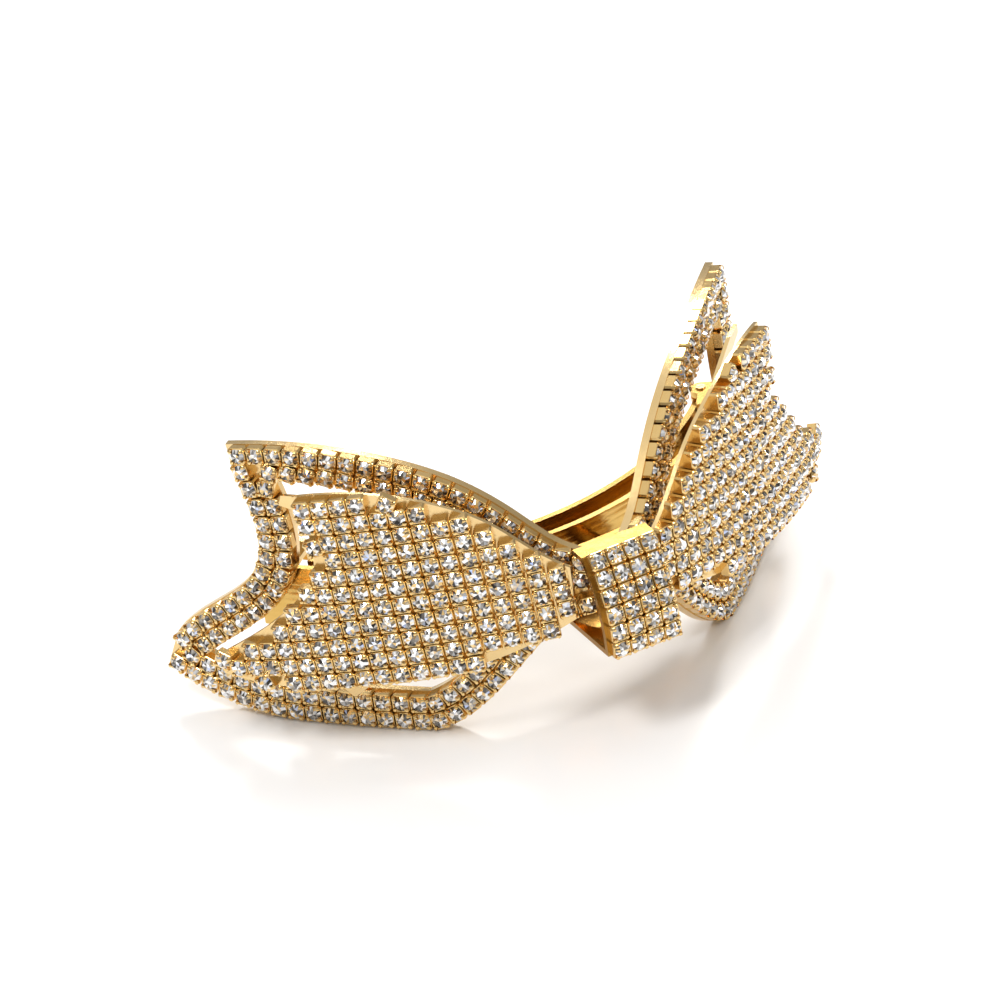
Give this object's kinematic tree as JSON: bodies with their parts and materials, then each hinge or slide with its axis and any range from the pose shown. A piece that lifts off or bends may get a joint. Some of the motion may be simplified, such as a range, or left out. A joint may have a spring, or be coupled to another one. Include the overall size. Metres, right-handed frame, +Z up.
{
  "type": "hair barrette",
  "caption": "Gold two-layer bow set with rows of round clear stones in cups, on a curved spring barrette with a hinged arm and a two-eared catch.",
  "frame": {"origin": "middle of the footprint, on the table that the two wings stand on", "axes": "+X along the bow from the catch to the hinge, +Y from the knot's front to the wearer's head, +Z up"},
  "size_m": [0.085, 0.0502, 0.0373],
  "materials": {
    "gold_plate": "polished",
    "gold_cups": "polished",
    "barrette_metal": "polished gold plating",
    "crystal": "cut and foiled"
  },
  "bodies": {
    "bow": {"left_rim_plate": "gold_plate", "left_rim_top_cups": "gold_cups", "left_rim_notch_cups": "gold_cups", "left_rim_bottom_cups": "gold_cups", "left_panel_plate": "gold_plate", "left_panel_row_01": "gold_cups", "left_panel_row_02": "gold_cups", "left_panel_row_03": "gold_cups", "left_panel_row_04": "gold_cups", "left_panel_row_05": "gold_cups", "left_panel_row_06": "gold_cups", "left_panel_row_07": "gold_cups", "left_panel_row_08": "gold_cups", "left_panel_row_09": "gold_cups", "left_panel_row_10": "gold_cups", "left_panel_row_11": "gold_cups", "left_upper_strut": "gold_plate", "left_lower_strut": "gold_plate", "left_rim_stones": "crystal", "left_panel_stones": "crystal", "right_rim_plate": "gold_plate", "right_rim_top_cups": "gold_cups", "right_rim_notch_cups": "gold_cups", "right_rim_bottom_cups": "gold_cups", "right_panel_plate": "gold_plate", "right_panel_row_01": "gold_cups", "right_panel_row_02": "gold_cups", "right_panel_row_03": "gold_cups", "right_panel_row_04": "gold_cups", "right_panel_row_05": "gold_cups", "right_panel_row_06": "gold_cups", "right_panel_row_07": "gold_cups", "right_panel_row_08": "gold_cups", "right_panel_row_09": "gold_cups", "right_panel_row_10": "gold_cups", "right_panel_row_11": "gold_cups", "right_upper_strut": "gold_plate", "right_lower_strut": "gold_plate", "right_rim_stones": "crystal", "right_panel_stones": "crystal", "knot_band": "gold_plate", "knot_cups": "gold_cups", "knot_stones": "crystal", "bridge_plate": "gold_plate", "bridge_posts": "gold_plate", "barrette_base": "barrette_metal", "tension_spring": "barrette_metal", "spring_rivets": "barrette_metal", "hinge_pin": "barrette_metal"},
    "arm": {"clasp_arm": "barrette_metal"},
    "upper_ear": {"catch_ear_upper": "barrette_metal"},
    "lower_ear": {"catch_ear_lower": "barrette_metal"}
  },
  "joints": [
    {"name": "arm_hinge", "type": "hinge", "parent": "bow", "child": "arm", "pos_m": [0.03002, 0.01638, 0.01513], "axis": [0, 0, -1], "range_deg": [0, 75]},
    {"name": "upper_ear_pinch", "type": "hinge", "parent": "bow", "child": "upper_ear", "pos_m": [-0.02953, 0.01368, 0.01823], "axis": [-0.5878, 0.809, 0], "range_deg": [0, 9]},
    {"name": "lower_ear_pinch", "type": "hinge", "parent": "bow", "child": "lower_ear", "pos_m": [-0.02953, 0.01368, 0.01203], "axis": [0.5878, -0.809, 0], "range_deg": [0, 9]}
  ]
}
